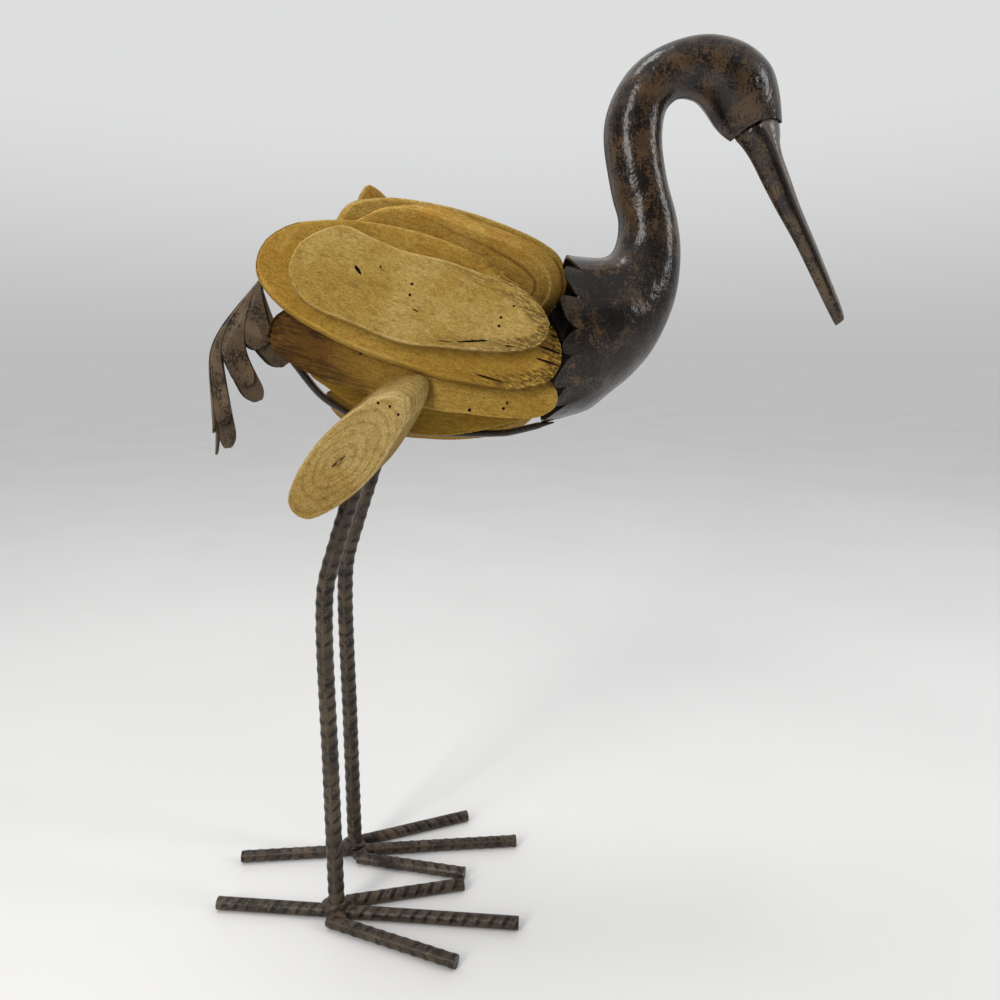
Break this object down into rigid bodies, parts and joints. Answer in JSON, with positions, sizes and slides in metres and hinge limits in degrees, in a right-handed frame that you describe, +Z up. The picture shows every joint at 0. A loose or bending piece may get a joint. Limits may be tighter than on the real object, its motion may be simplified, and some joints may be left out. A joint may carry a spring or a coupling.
{
  "type": "heron figurine",
  "caption": "Standing heron figurine with a curved pressed-sheet neck and tail, a body of sliced branch wood, and legs and toes of ribbed steel bar.",
  "frame": {"origin": "on the floor, at the middle of the bird's length and width", "axes": "+Z up, +X the way the bird looks, -Y its right side"},
  "size_m": [0.3606, 0.1418, 0.4915],
  "materials": {
    "dark_lacquered_sheet": "semi-gloss brown and black lacquer, mottled by hand, on pressed steel sheet",
    "brown_tail_sheet": "satin brown-grey lacquer, finely mottled, on steel sheet",
    "ribbed_steel_bar": "satin brown lacquer over ribbed steel bar, darker between the ribs",
    "pale_branch_wood": "bare, sanded pale wood with saw marks, cracks and knots"
  },
  "bodies": {
    "root": {"breast_neck_and_head": "dark_lacquered_sheet", "beak": "dark_lacquered_sheet", "tail_upper_sheet": "brown_tail_sheet", "tail_under_sheet": "brown_tail_sheet", "belly_strap": "ribbed_steel_bar", "right_leg": "ribbed_steel_bar", "right_long_toe_bar": "ribbed_steel_bar", "right_outer_toe": "ribbed_steel_bar", "right_inner_toe": "ribbed_steel_bar", "left_leg": "ribbed_steel_bar", "left_long_toe_bar": "ribbed_steel_bar", "left_outer_toe": "ribbed_steel_bar", "left_inner_toe": "ribbed_steel_bar", "right_wing_top_slice": "pale_branch_wood", "right_wing_middle_slice": "pale_branch_wood", "right_wing_lower_slice": "pale_branch_wood", "right_belly_slice": "pale_branch_wood", "right_thigh": "pale_branch_wood", "left_wing_inner_slice": "pale_branch_wood", "left_wing_middle_slice": "pale_branch_wood", "left_wing_rear_slice": "pale_branch_wood", "left_wing_lower_slice": "pale_branch_wood", "left_belly_slice": "pale_branch_wood", "left_thigh": "pale_branch_wood"}
  },
  "joints": []
}
